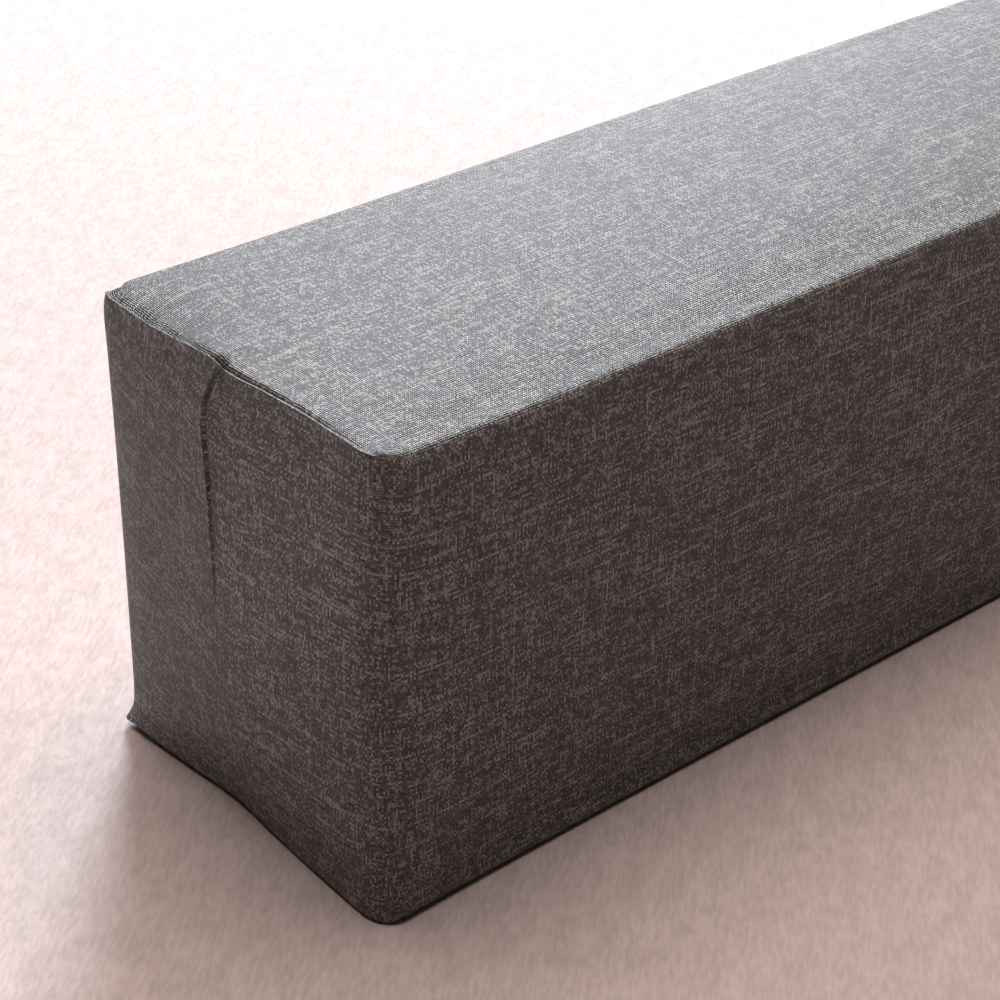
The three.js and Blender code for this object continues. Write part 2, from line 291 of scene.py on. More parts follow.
def column(table, name, at):
    """A table's column at places along its first one: a cubic through the rows with their mean slopes, level
    past the ends."""
    keys = np.array(next(iter(table.values())), float)
    values = np.array(table[name], float)
    slopes = np.gradient(values, keys)
    at = np.clip(at, keys[0], keys[-1])
    row = np.clip(np.searchsorted(keys, at, side="right") - 1, 0, len(keys) - 2)
    step = keys[row + 1] - keys[row]
    t = (at - keys[row]) / step
    low = (1 + 2 * t) * (1 - t) ** 2 * values[row] + t * (1 - t) ** 2 * step * slopes[row]
    high = t * t * (3 - 2 * t) * values[row + 1] + t * t * (t - 1) * step * slopes[row + 1]
    return low + high


def of_both_ends(x, value_of):
    """What value_of says of the worn end where x is below 0, and of the neat end elsewhere."""
    return np.where(x < 0, value_of(WORN_END), value_of(NEAT_END))


def seam_value(x, seam, name, at):
    """A column of a seam's table, of the end that each x belongs to."""
    return of_both_ends(x, lambda end: column(end[seam], name, at))


def rounded_edge(from_wall, from_face, radius):
    """Rounds the edge between a wall and a face: a point goes to the arc along the line from the arc's
    centre, which is the radius in from both, or further in where the point is. Gives both distances inwards
    and the shares of the wall's and the face's directions in the normal."""
    wall_centre = np.maximum(from_wall, radius)
    face_centre = np.maximum(from_face, radius)
    wall = wall_centre - from_wall
    face = face_centre - from_face
    length = np.hypot(wall, face)
    wall_share = wall / length
    face_share = face / length
    return wall_centre - radius * wall_share, face_centre - radius * face_share, wall_share, face_share


def stitch_pull(across):
    """1 with a cosine ripple on it, one wave for each stitch."""
    return 1 + STITCH_PULL * np.cos(2 * np.pi * across / STITCH_PITCH)


def top_seam_relief(end, across_edge, across, lip_height):
    """A bell-shaped lip on the edge, less a bell-shaped crease behind it that the stitches ripple."""
    depth = column(end["top_seam"], "depth", across) * stitch_pull(across)
    width = column(end["top_seam"], "width", across)
    lip = lip_height * bell(across_edge / LIP_WIDTH)
    return lip - depth * bell((across_edge - CREASE_FROM_EDGE) / width)


def pucker_relief(end, across_edge, across):
    """Bells across the end, each fading as exp(-distance / reach) from the edge over the top and down the
    end."""
    relief = np.zeros_like(across)
    puckers = end["puckers"]
    columns = (puckers[name] for name in ("across", "reach", "depth", "width"))
    for place, reach, depth, width in zip(*columns):
        fade = np.exp(-np.abs(across_edge) / np.where(across_edge > 0, reach, PUCKER_REACH_DOWN))
        relief -= depth * fade * bell((across - place) / width)
    return relief


def upright_seam_relief(end, from_seam, height):
    """Half the step outwards on one flap and half inwards on the other, each fading away from the seam, less
    a narrow bell-shaped crease, deeper further up. The proud flap rises from it in a quarter circle."""
    step = column(end["upright_seam"], "step", height)
    proud_side = from_seam * np.sign(step)
    rise = np.sqrt(1 - (1 - np.clip(proud_side / FOLD_ROUND, 0, 1)) ** 2)
    flap = np.abs(step) * (rise - 0.5) * np.exp(-np.abs(from_seam) / FLAP_ROLL_WIDTH)
    higher = smooth_share(height, UPRIGHT_CREASE_START, UPRIGHT_CREASE_WHOLE)
    depth = UPRIGHT_CREASE_DEPTH * (UPRIGHT_CREASE_LEAST + (1 - UPRIGHT_CREASE_LEAST) * higher)
    return flap - depth * bell(from_seam / UPRIGHT_CREASE_WIDTH)


def wave_relief(x, y, z):
    """The sum of long sine waves along the block, turned a little across it, never above 0."""
    relief = np.zeros_like(x)
    for length, height, phase in zip(*(WAVES[name] for name in ("length", "height", "phase"))):
        turn = x / length + (y + z) / WAVE_TURN
        relief += height * (np.sin(2 * np.pi * turn + phase) - 1) / 2
    return relief


class BlockSizes:
    """The cover's sizes in millimetres."""

    def __init__(self, sizes):
        for name in type(sizes).__annotations__:
            setattr(self, name, getattr(sizes, name) / MM)


class SharpPlaces:
    """Where points lie on the sharp block: how far from the end, the nearest wall and the nearest face, where
    across once the seam has shifted them, and which way is out."""

    def __init__(self, place, size):
        self.x, self.y, self.z = place
        self.end_direction = np.sign(self.x)
        self.from_end = size.length / 2 - np.abs(self.x)
        from_side = size.width / 2 - np.abs(self.y)
        self.from_wall = np.minimum(self.from_end, from_side)
        self.upper = self.z > size.height / 2
        self.from_face = np.where(self.upper, size.height - self.z, self.z)

        # Sideways, the middle lines follow the upright seam near the end
        flat = size.width / 2 - size.corner_radius
        near_seam = np.maximum(1 - (self.y / flat) ** 2, 0) ** 2
        offset = seam_value(self.x, "upright_seam", "offset", self.z)
        self.across = self.y + offset * near_seam * np.maximum(1 - self.from_end / SEAM_SHIFT_REACH, 0)

        # Round the upright edges, how far past the flat walls, the way out, and what belongs to the end
        self.past_x = np.maximum(size.corner_radius - self.from_end, 0) * self.end_direction
        self.past_y = np.maximum(size.corner_radius - from_side, 0) * np.sign(self.y)
        past = np.maximum(np.hypot(self.past_x, self.past_y), LEAST_LENGTH)
        self.out_x = self.past_x / past
        self.out_y = self.past_y / past
        self.end_share = smooth_share(self.out_x ** 2, END_SHARE_START, END_SHARE_WHOLE)
        sharpness = np.where(self.upper, UPPER_EAR_SHARPNESS, LOWER_EAR_SHARPNESS)
        self.diagonal = np.where(self.y > 0, (2 * np.abs(self.out_x * self.out_y)) ** sharpness, 0)


def edge_radius(at, size):
    """The radius of the upper or lower edge: the fold's along a side, the seam's at an end, and smaller at
    the lower back corner."""
    fold_radius = np.where(at.y < 0, size.front_fold_radius, size.back_fold_radius)
    top_radius = fold_radius + (size.top_seam_radius - fold_radius) * at.end_share
    base_share = smooth_share(at.out_x ** 2, 0, BASE_SHARE_WHOLE)
    base_radius = size.base_fold_radius + (size.base_seam_radius - size.base_fold_radius) * base_share
    return np.where(at.upper, top_radius, base_radius * (1 - EAR_POINT * at.diagonal))


def rounded_block(at, size):
    """The points with the upright, upper and lower edges rounded, the way outwards there, and the share of
    the wall's direction in it."""
    radius = edge_radius(at, size)
    wall_in, face_in, wall_share, face_share = rounded_edge(at.from_wall, at.from_face, radius)
    reach = size.corner_radius - wall_in
    points = np.stack([
        at.x - at.past_x + at.out_x * reach,
        at.across - at.past_y + at.out_y * reach,
        np.where(at.upper, size.height - face_in, face_in),
    ])
    normal = np.stack([
        at.out_x * wall_share,
        at.out_y * wall_share,
        np.where(at.upper, face_share, -face_share),
    ])
    return points, normal, wall_share


def sewn_relief(at, wall_share, size):
    """The top seam and its puckers on the upper half, and the upright seam on the end."""
    on_top = at.from_face == 0
    seam_place = np.where(on_top, at.from_wall, -at.from_face)
    pucker_place = np.where(on_top, at.from_end, -at.from_face)
    seam = of_both_ends(at.x, lambda end: top_seam_relief(end, seam_place, at.across, size.lip_height))
    pucker = of_both_ends(at.x, lambda end: pucker_relief(end, pucker_place, at.across))
    upright = of_both_ends(at.x, lambda end: upright_seam_relief(end, at.y, at.z))
    top = np.where(at.upper, at.end_share * seam + np.where(on_top, 1, at.end_share) * pucker, 0)
    return top + upright * wall_share * at.end_share


def ear_reach(at):
    """How far the ears stand out: by how near the way out is to a back corner's diagonal, to the power of its
    sharpness, times (1 - distance from the top or base / height) squared."""
    upper_ear = of_both_ends(at.x, lambda end: end["upper_ear"])
    lower_ear = of_both_ends(at.x, lambda end: end["lower_ear"])
    fade = np.maximum(1 - at.from_face / EAR_HEIGHT, 0) ** 2
    return np.where(at.upper, upper_ear, lower_ear) * at.diagonal * fade


def top_drop(at, sideways, size):
    """How far the top sinks: its crown times the place across squared, and the end's table near an end, whose
    share is exp(-distance / reach)."""
    top_crown = np.where(at.y < 0, size.top_crown_front, size.top_crown_back)
    crown_drop = top_crown * sideways ** 2 + SWELL_ROOM * (1 - sideways ** 2)
    end_drop = seam_value(at.x, "top_seam", "drop", at.across)
    end_share = np.exp(-at.from_end / TOP_DROP_REACH)
    return crown_drop * (1 - end_share) + end_drop * end_share


def drawn_in(points, at, size):
    """The faces drawn in by their crowns times the place across or up squared, their middles a little low for
    the swell to fill. The filling leans to the front evenly upwards, and less near an end. Each end leans and
    sinks by its table. What fades away from an end is exp(-distance / reach)."""
    x, y, z = points
    half_width = size.width / 2
    sideways = y / half_width
    upwards = 2 * z / size.height - 1
    kept_less = (1 - SIDE_CROWN_KEPT_AT_END) * np.exp(-at.from_end / SIDE_CROWN_REACH)
    side_in = size.side_crown * (1 - kept_less) * upwards ** 2 + SWELL_ROOM * (1 - upwards ** 2)
    between_ends = 1 - np.exp(-at.from_end / LEAN_TO_FRONT_REACH)
    leaning = LEAN_TO_FRONT * upwards * smooth_share(z, 0, LEAN_WHOLE_ABOVE) * between_ends
    middle_of_end = (1 - sideways ** 2) * (1 - upwards ** 2)
    end_in = size.end_crown * (1 - middle_of_end) + SWELL_ROOM * middle_of_end
    end_lean = seam_value(at.x, "top_seam", "lean", at.across)
    new_x = x - at.end_direction * end_in * np.exp(-at.from_end / END_CROWN_REACH)
    new_x = new_x - at.end_direction * end_lean * np.exp(-at.from_end / LEAN_REACH) * (z / size.height) ** 2
    new_y = y * (1 - side_in / half_width) - leaning
    new_z = z * (1 - top_drop(at, sideways, size) / size.height)
    return np.stack([new_x, new_y, new_z])


def lifted_at_base(points, at):
    """The base seam lifts the end's lower edge and tucks it in, by (1 - distance / reach) squared inwards and
    upwards."""
    x, y, z = points
    lift = seam_value(at.x, "base_seam", "lift", at.across)
    tuck = seam_value(at.x, "base_seam", "tuck", at.across)
    inwards = np.maximum(1 - at.from_end / BASE_LIFT_REACH_IN, 0) ** 2
    upwards = np.maximum(1 - z / BASE_LIFT_REACH_UP, 0) ** 2
    lifted = z + lift * inwards * upwards
    tucked = x - at.end_direction * tuck * inwards * upwards
    return np.stack([tucked, y, lifted])


def filled_points(place, size, swell, with_seams=True):
    """Where points of the sharp block's surface lie on the filled one. place is their x, y and z, and swell
    is how far the simulated cloth carries them.

    The block is a box with its edges rounded, tighter where a seam runs. Seams, puckers and waves are raised
    along the normal, and ears along the corner's diagonal. Then the faces draw in by their crowns, the swell
    fills them again, and the ends lean, drop and lift by their tables."""
    at = SharpPlaces(place, size)
    points, normal, wall_share = rounded_block(at, size)
    relief = sewn_relief(at, wall_share, size) if with_seams else 0
    wavy = np.where(at.upper, 1, wall_share * smooth_share(at.z, 0, WAVES_WHOLE_ABOVE))
    relief = relief + wave_relief(*points) * wavy
    points = points + normal * relief
    ear = ear_reach(at)
    points = points + np.stack([at.out_x * ear, at.out_y * ear, np.zeros_like(ear)])
    points = drawn_in(points, at, size) + swell
    return lifted_at_base(points, at)


def graded_lines(start, end, grid):
    """Grid lines from start to end whose spacing grows evenly with the distance from both, up to the longest
    step: equal shares of the integral of 1 / spacing."""
    at = np.linspace(start, end, SAMPLES_OF_SPACING)
    from_start = grid["at_start"] + grid["growth"] * (at - start)
    from_end = grid["at_end"] + grid["growth"] * (end - at)
    spacing = np.minimum(np.minimum(from_start, from_end), grid["longest"])
    count = np.concatenate([[0], np.cumsum(np.diff(at) * 2 / (spacing[1:] + spacing[:-1]))])
    return np.interp(np.linspace(0, count[-1], math.ceil(count[-1]) + 1), count, at)


def cover_lines(size):
    """The fine grid's lines along, across and up the block."""
    front_half = graded_lines(-size.width / 2, 0, GRID_ACROSS)
    return (
        graded_lines(-size.length / 2, size.length / 2, GRID_ALONG),
        np.concatenate([front_half, -front_half[-2::-1]]),
        graded_lines(0, size.height, GRID_UP),
    )


def even_lines(size):
    """The coarse grid's lines, in even cells."""
    ends = ((-size.length / 2, size.length / 2), (-size.width / 2, size.width / 2), (0, size.height))
    return tuple(np.linspace(low, high, round((high - low) / COARSE_CELL) + 1) for low, high in ends)


class Lattice:
    """The surface points of a box lattice, numbered once each, and its six faces as grids of numbers."""

    def __init__(self, lines):
        self.lines = lines
        self.shape = tuple(len(axis) for axis in lines)
        on_surface = np.zeros(self.shape, bool)
        for axis in range(3):
            for side in (0, -1):
                on_surface[self.face(axis, side)] = True
        self.on_surface = on_surface
        self.number = np.cumsum(on_surface).reshape(self.shape) - 1
        self.place = [axis_lines[index] for axis_lines, index in zip(lines, np.nonzero(on_surface))]

    def face(self, axis, side):
        """The index that takes one face out of an array of the lattice's shape."""
        index = [slice(None)] * 3
        index[axis] = side
        return tuple(index)

    def faces(self):
        """Each face's axis, its side (0 or -1) and whether its grid has to be turned to point outwards."""
        for axis in range(3):
            for side in (0, -1):
                yield axis, side, (side == 0) != (axis == 1)


def quads(numbers, turned):
    """The four corners of each cell of a grid of vertex numbers, turned round where asked."""
    corners = [numbers[:-1, :-1], numbers[1:, :-1], numbers[1:, 1:], numbers[:-1, 1:]]
    if turned:
        corners.reverse()
    return np.stack([corner.ravel() for corner in corners], axis=1)


def lattice_quads(lattice):
    """The quads of all six faces."""
    return np.concatenate([
        quads(lattice.number[lattice.face(axis, side)], turned) for axis, side, turned in lattice.faces()
    ])


def mesh_from(name, points, corners):
    """A smooth-shaded mesh in metres from points in millimetres and the corners of its quads."""
    mesh = bpy.data.meshes.new(name)
    mesh.vertices.add(len(points))
    mesh.vertices.foreach_set("co", (points * MM).ravel())
    mesh.loops.add(corners.size)
    mesh.loops.foreach_set("vertex_index", corners.ravel())
    mesh.polygons.add(len(corners))
    mesh.polygons.foreach_set("loop_start", np.arange(0, corners.size, 4))
    mesh.polygons.foreach_set("use_smooth", np.ones(len(corners), bool))
    mesh.update(calc_edges=True)
    mesh.validate()
    return mesh


def shown(name, mesh):
    """A new object with that mesh, linked to the scene."""
    made = bpy.data.objects.new(name, mesh)
    bpy.context.scene.collection.objects.link(made)
    return made


def mesh_points(mesh):
    """The places of a mesh's vertices, in millimetres."""
    places = np.empty(len(mesh.vertices) * 3, np.float32)
    mesh.vertices.foreach_get("co", places)
    return places.reshape(-1, 3).astype(float) / MM


def held_points(lattice):
    """The lattice's points on its twelve edges and on its base, which the filling holds."""
    extremes = sum(
        ((place == axis_lines[0]) | (place == axis_lines[-1])).astype(int)
        for place, axis_lines in zip(lattice.place, lattice.lines)
    )
    return np.nonzero((extremes >= 2) | (lattice.place[2] == 0))[0]


def add_cloth(piece, held):
    """Blender's cloth on the piece, blown up from inside, with no gravity and with the held points fixed."""
    group = piece.vertex_groups.new(name="held")
    group.add(held.tolist(), 1, "REPLACE")
    cloth = piece.modifiers.new("swelling", "CLOTH")
    cloth.settings.vertex_group_mass = group.name
    cloth.settings.use_pressure = True
    cloth.settings.uniform_pressure_force = SWELL_PRESSURE
    cloth.settings.effector_weights.gravity = 0
    cloth.point_cache.frame_start = 1
    cloth.point_cache.frame_end = SWELL_FRAMES
    return cloth


def simulated_swell(size):
    """The coarse lattice, and how far the cloth carries each point of a coarse copy of the drawn-in cover, in
    millimetres, as an array of the lattice's shape with three values a point."""
    lattice = Lattice(even_lines(size))
    still = np.zeros((3, len(lattice.place[0])))
    start = filled_points(lattice.place, size, still, with_seams=False).T
    copy = shown("swelling_copy", mesh_from("swelling_copy", start, lattice_quads(lattice)))
    add_cloth(copy, held_points(lattice))
    scene = bpy.context.scene
    for step in range(1, SWELL_FRAMES + 1):
        scene.frame_set(step)
    swollen = copy.evaluated_get(bpy.context.evaluated_depsgraph_get())
    moved = mesh_points(swollen.data) - mesh_points(copy.data)
    mesh = copy.data
    bpy.data.objects.remove(copy)
    bpy.data.meshes.remove(mesh)
    scene.frame_set(1)

    distance = np.linalg.norm(moved, axis=1, keepdims=True)
    capped = moved / (1 + distance / SWELL_CAP)
    off_base = smooth_share(lattice.place[2], SWELL_START_ABOVE, SWELL_WHOLE_ABOVE)[:, None]
    field = np.zeros(lattice.shape + (3,))
    field[lattice.on_surface] = capped * off_base
    return lattice, field


def cubic_weights(coarse, fine):
    """A matrix that takes values on coarse lines to fine ones by the cubic through the four nearest."""
    position = np.interp(fine, coarse, np.arange(len(coarse)))
    low = np.clip(np.floor(position).astype(int), 0, len(coarse) - 2)
    t = position - low
    shares = (
        -t / 2 + t ** 2 - t ** 3 / 2,
        1 - 5 * t ** 2 / 2 + 3 * t ** 3 / 2,
        t / 2 + 2 * t ** 2 - 3 * t ** 3 / 2,
        -t ** 2 / 2 + t ** 3 / 2,
    )
    weights = np.zeros((len(fine), len(coarse)))
    rows = np.arange(len(fine))
    for offset, share in enumerate(shares):
        np.add.at(weights, (rows, np.clip(low + offset - 1, 0, len(coarse) - 1)), share)
    return weights


def swell_on(lattice, size):
    """The simulated swell, carried from the coarse lattice's faces to the fine one's: x, y and z a point."""
    coarse, field = simulated_swell(size)
    weights = [cubic_weights(low, high) for low, high in zip(coarse.lines, lattice.lines)]
    fine_field = np.zeros(lattice.shape + (3,))
    for axis, side, _ in lattice.faces():
        first, second = [weights[other] for other in range(3) if other != axis]
        face = lattice.face(axis, side)
        fine_field[face] = np.einsum("ai,ijk,bj->abk", first, field[face], second)
    return fine_field[lattice.on_surface].T


def unrolled(distance, radius):
    """Length over the cloth from the middle of a rounded edge, for a distance in from the sharp one: round
    the arc by radius times the angle turned, then straight on."""
    turned = radius * (np.pi / 4 - np.arctan(1 - np.minimum(distance, radius) / radius))
    return turned + np.maximum(distance - radius, 0)


def run_over(lines, radius_at_start, radius_at_end):
    """Length over the cloth from the first rounded edge to each line, of lines that span one face."""
    half = (lines[-1] - lines[0]) / 2
    whole = unrolled(half, radius_at_start) + unrolled(half, radius_at_end)
    from_start = unrolled(lines - lines[0], radius_at_start)
    from_end = unrolled(lines[-1] - lines, radius_at_end)
    return np.where(lines - lines[0] < half, from_start, whole - from_end)


def seam_run(along, size):
    """How much further the cloth of the top and the base reaches over an end's tight seam than the side's
    cloth does round the upright edge, by distance from the end: nothing past the corner's radius."""
    from_end = (along[-1] - along[0]) / 2 - np.abs(along)
    tight = unrolled(from_end, size.top_seam_radius) - unrolled(size.corner_radius, size.top_seam_radius)
    wide = unrolled(from_end, size.corner_radius) - unrolled(size.corner_radius, size.corner_radius)
    return np.sign(along) * (wide - tight)


def cloth_runs(lattice, size):
    """For each patch of cloth, its vertex numbers, whether it is turned, and where each point lies on the
    unrolled cloth, in millimetres: first along the block, then round it. The flaps carry the sides' cloth
    round the corners, and their grain drops towards the upright seam."""
    along, across, up = lattice.lines
    run_along = run_over(along, size.corner_radius, size.corner_radius)
    run_flat = run_along + seam_run(along, size)
    run_across = run_over(across, size.front_fold_radius, size.back_fold_radius)
    run_front = run_over(up, size.base_fold_radius, size.front_fold_radius)
    run_back = run_over(up, size.base_fold_radius, size.back_fold_radius)
    round_front = run_front - run_front[-1]
    round_back = run_across[-1] + run_back[-1] - run_back
    round_base = round_back[0] + run_over(across, size.base_fold_radius, size.base_fold_radius)[::-1]
    middle = len(across) // 2
    back_half = smooth_share(across, 0, TOP_GRAIN_WHOLE)[None, :]
    past_corner = unrolled(size.width / 2 - np.abs(across), size.corner_radius)

    for axis, side, turned in lattice.faces():
        numbers = lattice.number[lattice.face(axis, side)]
        if axis == 2:
            run, round_ = np.meshgrid(run_flat, run_across if side == -1 else round_base, indexing="ij")
            if side == -1:
                from_worn_end = (along - along[0])[:, None]
                turn = TOP_GRAIN_TURN * TOP_GRAIN_REACH * np.exp(-from_worn_end / TOP_GRAIN_REACH)
                round_ = round_ + turn * back_half
            yield numbers, turned, (run, round_)
        elif axis == 1:
            round_run = round_front if side == 0 else round_back
            yield numbers, turned, np.meshgrid(run_along, round_run, indexing="ij")
        else:
            past_end = -past_corner if side == 0 else run_along[-1] + past_corner
            front, back = slice(0, middle + 1), slice(middle, None)
            for flap, round_run, grain, sense in (
                (front, round_front, FRONT_FLAP_GRAIN, 1),
                (back, round_back, BACK_FLAP_GRAIN, -1),
            ):
                drop = column(grain, "drop", past_corner[flap])
                run, round_ = np.meshgrid(past_end[flap], round_run, indexing="ij")
                yield numbers[flap], turned, (run, round_ + sense * drop[:, None])


def seam_shade(place, size):
    """How much painted shade the seams put on each point, from 0 to the darkest: bells round the creases of
    the top seam and the upright seam, and the depth of the puckers."""
    x, y, z = place
    from_end = size.length / 2 - np.abs(x)
    on_top = z == size.height
    depth = seam_value(x, "top_seam", "depth", y)
    width = seam_value(x, "top_seam", "width", y)
    stitches = 1 + STITCH_SHADE * np.cos(2 * np.pi * y / STITCH_PITCH)
    crease = depth * stitches * bell((from_end - CREASE_FROM_EDGE) / width * CREASE_SHADE_NARROWER)
    pucker = of_both_ends(x, lambda end: pucker_relief(end, from_end, y))
    top = np.where(on_top, np.maximum(crease, -PUCKER_SHADE * pucker), 0)
    step = seam_value(x, "upright_seam", "step", z)
    fold = UPRIGHT_SHADE + np.maximum(step - UPRIGHT_SHADE_STEP, 0)
    upright = np.where(from_end == 0, fold * bell(y / UPRIGHT_CREASE_WIDTH), 0)
    return np.clip(np.maximum(top, upright), 0, DARKEST_SHADE)


def gathers(place, size):
    """Where the top seam gathers the cloth into fine pleats, from 0 to 1: it fades over the top from the end,
    and is strongest on the worn end's back half."""
    x, y, z = place
    from_end = size.length / 2 - np.abs(x)
    back = smooth_share(y, GATHERS_START, GATHERS_WHOLE) * np.where(x < 0, 1, NEAT_END_GATHERS)
    return np.where(z == size.height, np.exp(-from_end / GATHERS_REACH), 0) * back


def add_attribute(mesh, name, values):
    """A value at each vertex of the mesh."""
    attribute = mesh.attributes.new(name, "FLOAT", "POINT")
    attribute.data.foreach_set("value", values.astype(np.float32))


def cover_mesh(size):
    """The whole cover as one closed mesh, with its unrolled cloth as a UV map, and the painted shade of its
    seams and its gathers as attributes.
    """
    lattice = Lattice(cover_lines(size))
    points = filled_points(lattice.place, size, swell_on(lattice, size)).T
    corners = []
    runs = []
    for numbers, turned, run in cloth_runs(lattice, size):
        corners.append(quads(numbers, turned))
        grid = np.arange(numbers.size).reshape(numbers.shape)
        run_points = np.stack([part.ravel() for part in run], axis=1)
        runs.append(run_points[quads(grid, turned).ravel()])
    mesh = mesh_from(PIECE, points, np.concatenate(corners))
    cloth_run = mesh.uv_layers.new(name=CLOTH_RUN)
    cloth_run.uv.foreach_set("vector", (np.concatenate(runs) * MM).astype(np.float32).ravel())
    add_attribute(mesh, SEAM_SHADE, seam_shade(lattice.place, size))
    add_attribute(mesh, GATHERS, gathers(lattice.place, size))
    return mesh


class Wire:
    """A value in a material: an output socket whose sums and products add Math nodes."""

    def __init__(self, material, socket):
        self.material = material
        self.socket = socket

    def math(self, operation, *others):
        return self.material.math(operation, self, *others)

    def __add__(self, other):
        return self.math("ADD", other)

    __radd__ = __add__

    def __mul__(self, other):
        return self.math("MULTIPLY", other)

    __rmul__ = __mul__

    def __sub__(self, other):
        return self.math("SUBTRACT", other)

    def __rsub__(self, other):
        return self.material.math("SUBTRACT", other, self)

    def __truediv__(self, other):
        return self.math("DIVIDE", other)

    def __pow__(self, other):
        return self.math("POWER", other)


class NodeMaterial:
    """A material and the nodes that it is made of."""

    def __init__(self, name):
        self.made = bpy.data.materials.new(name)
        self.made.use_nodes = True
        self.tree = self.made.node_tree
        self.tree.nodes.clear()

    def node(self, kind, settings=None, inputs=None):
        """A new node: its settings first, then the values or wires of its sockets. Gives its outputs."""
        node = self.tree.nodes.new(kind)
        for name, value in (settings or {}).items():
            if name == "stops":
                set_stops(node.color_ramp, value)
            else:
                setattr(node, name, value)
        for name, value in (inputs or {}).items():
            socket = node.inputs[name]
            if isinstance(value, Wire):
                self.tree.links.new(value.socket, socket)
            else:
                socket.default_value = value
        return {socket.name: Wire(self, socket) for socket in node.outputs if socket.enabled}

    def math(self, operation, *values):
        return self.node("ShaderNodeMath", {"operation": operation}, dict(enumerate(values)))["Value"]

    def attribute(self, name):
        return self.node("ShaderNodeAttribute", {"attribute_name": name})["Fac"]

    def vector(self, x, y):
        return self.node("ShaderNodeCombineXYZ", inputs={"X": x, "Y": y})["Vector"]

    def noise(self, x, y, detail=0):
        """Smooth noise from 0 to 1 over a plane whose unit is one bump."""
        settings = {"noise_dimensions": "2D"}
        inputs = {"Vector": self.vector(x, y), "Scale": 1, "Detail": detail}
        return self.node("ShaderNodeTexNoise", settings, inputs)["Fac"]

    def random(self, x, y):
        """A random number from 0 to 1 for each pair of whole numbers."""
        inputs = {"Vector": self.vector(x, y)}
        return self.node("ShaderNodeTexWhiteNoise", {"noise_dimensions": "2D"}, inputs)["Value"]

    def share(self, value, low, high):
        """0 up to low and 1 from high on, smooth between."""
        settings = {"interpolation_type": "SMOOTHSTEP"}
        inputs = {"Value": value, "From Min": low, "From Max": high}
        return self.node("ShaderNodeMapRange", settings, inputs)["Result"]

    def between(self, low, high, share):
        """low where share is 0 and high where it is 1."""
        return low + (high - low) * share

    def ramp(self, value, stops):
        """A colour for a value, by the stops' places and colours."""
        return self.node("ShaderNodeValToRGB", {"stops": stops}, {"Fac": value})["Color"]

    def finish(self, **inputs):
        """The Principled shader with those inputs, wired to the output."""
        shader = self.node("ShaderNodeBsdfPrincipled", inputs=inputs)["BSDF"]
        self.node("ShaderNodeOutputMaterial", inputs={"Surface": shader})
        return self.made


def set_stops(ramp, stops):
    """Gives a colour ramp its stops, each a place and a colour."""
    while len(ramp.elements) < len(stops):
        ramp.elements.new(1)
    for element, (place, colour) in zip(ramp.elements, stops):
        element.position = place
        element.color = (*colour, 1)


# The threads that run along the block and those that run round it: their middle tone, how much it changes
# quickly and slowly along a thread, how long and how rare the slubs are, and how much of a slub shows where
# its thread lies under. Reaches are in threads of the other way.
LONG_YARN = {
    "seed": 53, "tone": 0.6, "fleck": 1.2, "fleck_reach": 9, "drift": 0.7, "drift_reach": 45,
    "slub_reach": 45, "slub_start": 0.7, "slub_under": 0.6,
}
CROSS_YARN = {
    "seed": 11, "tone": 0.55, "fleck": 0.9, "fleck_reach": 6, "drift": 0.5, "drift_reach": 30,
    "slub_reach": 35, "slub_start": 0.74, "slub_under": 0.4,
}

# How far a thread strays, in millimetres, and the bumps a metre of its wander that way and the other way
THREAD_WANDER = 0.5
WANDER_THAT_WAY = 55
WANDER_OTHER_WAY = 18
WANDER_SEED = 37

# A yarn's noise: the step between its threads, where its drift and its slubs start, and the slubs' soft edge
LANE_STEP = 7.37
DRIFT_LANE = 211
SLUB_LANE = 431
SLUB_EDGE = 0.1

# The threads' shape: how full each is across, how much it arches over another, and how thick a slub makes it
THREAD_FULLNESS = 0.6
THREAD_ARCH = 0.5
SLUB_HEIGHT = 0.6

# How much each changes the tone: one crossing from the next, a slub, and the painted shade in the gap beside
# a thread and in the seams
CROSSING_VARIETY = 0.8
SLUB_PALENESS = 0.34
GAP_SHADE = 0.5
SEAM_SHADE_AMOUNT = 0.28

# The fine pleats: how much painted shade darkens their troughs, their relief in millimetres, and how they
# stray
PLEAT_SHADE = 0.3
PLEAT_RELIEF = 0.15
PLEAT_WANDER = 3
PLEAT_WANDER_ALONG = 150
PLEAT_WANDER_ROUND = 90


def wandering(cloth, along, round_):
    """A place on the cloth, moved both ways by noise, so that the threads stray a little."""
    most = 2 * THREAD_WANDER * MM
    sway = cloth.noise(along * WANDER_THAT_WAY, round_ * WANDER_OTHER_WAY, detail=1) - 0.5
    along = along + sway * most
    sway = cloth.noise(along * WANDER_OTHER_WAY + WANDER_SEED, round_ * WANDER_THAT_WAY, detail=1) - 0.5
    return along, round_ + sway * most


def yarn(cloth, number, at, kind):
    """The tone of one way's threads, and how thick each is there, from 0 to 1. number counts the threads, and
    at runs along them in steps of the other way's pitch."""
    lane = number * LANE_STEP + kind["seed"]
    fleck = cloth.noise(lane, at / kind["fleck_reach"])
    drift = cloth.noise(lane + DRIFT_LANE, at / kind["drift_reach"])
    tone = kind["tone"] + (fleck - 0.5) * kind["fleck"] + (drift - 0.5) * kind["drift"]
    thick = cloth.noise(lane + SLUB_LANE, at / kind["slub_reach"])
    slub = cloth.share(thick, kind["slub_start"], kind["slub_start"] + SLUB_EDGE)
    return tone, slub


def roundness(at):
    """1 in the middle of each thread and 0 at its edges, in a parabola."""
    side = at.math("FRACT") * 2 - 1
    return 1 - side * side


def thread_height(across_it, along_it, slub):
    """How high a thread stands, from its roundness across it and along its stretch on top."""
    arch = 1 - THREAD_ARCH + THREAD_ARCH * along_it
    return across_it ** THREAD_FULLNESS * arch * (1 + slub * SLUB_HEIGHT)


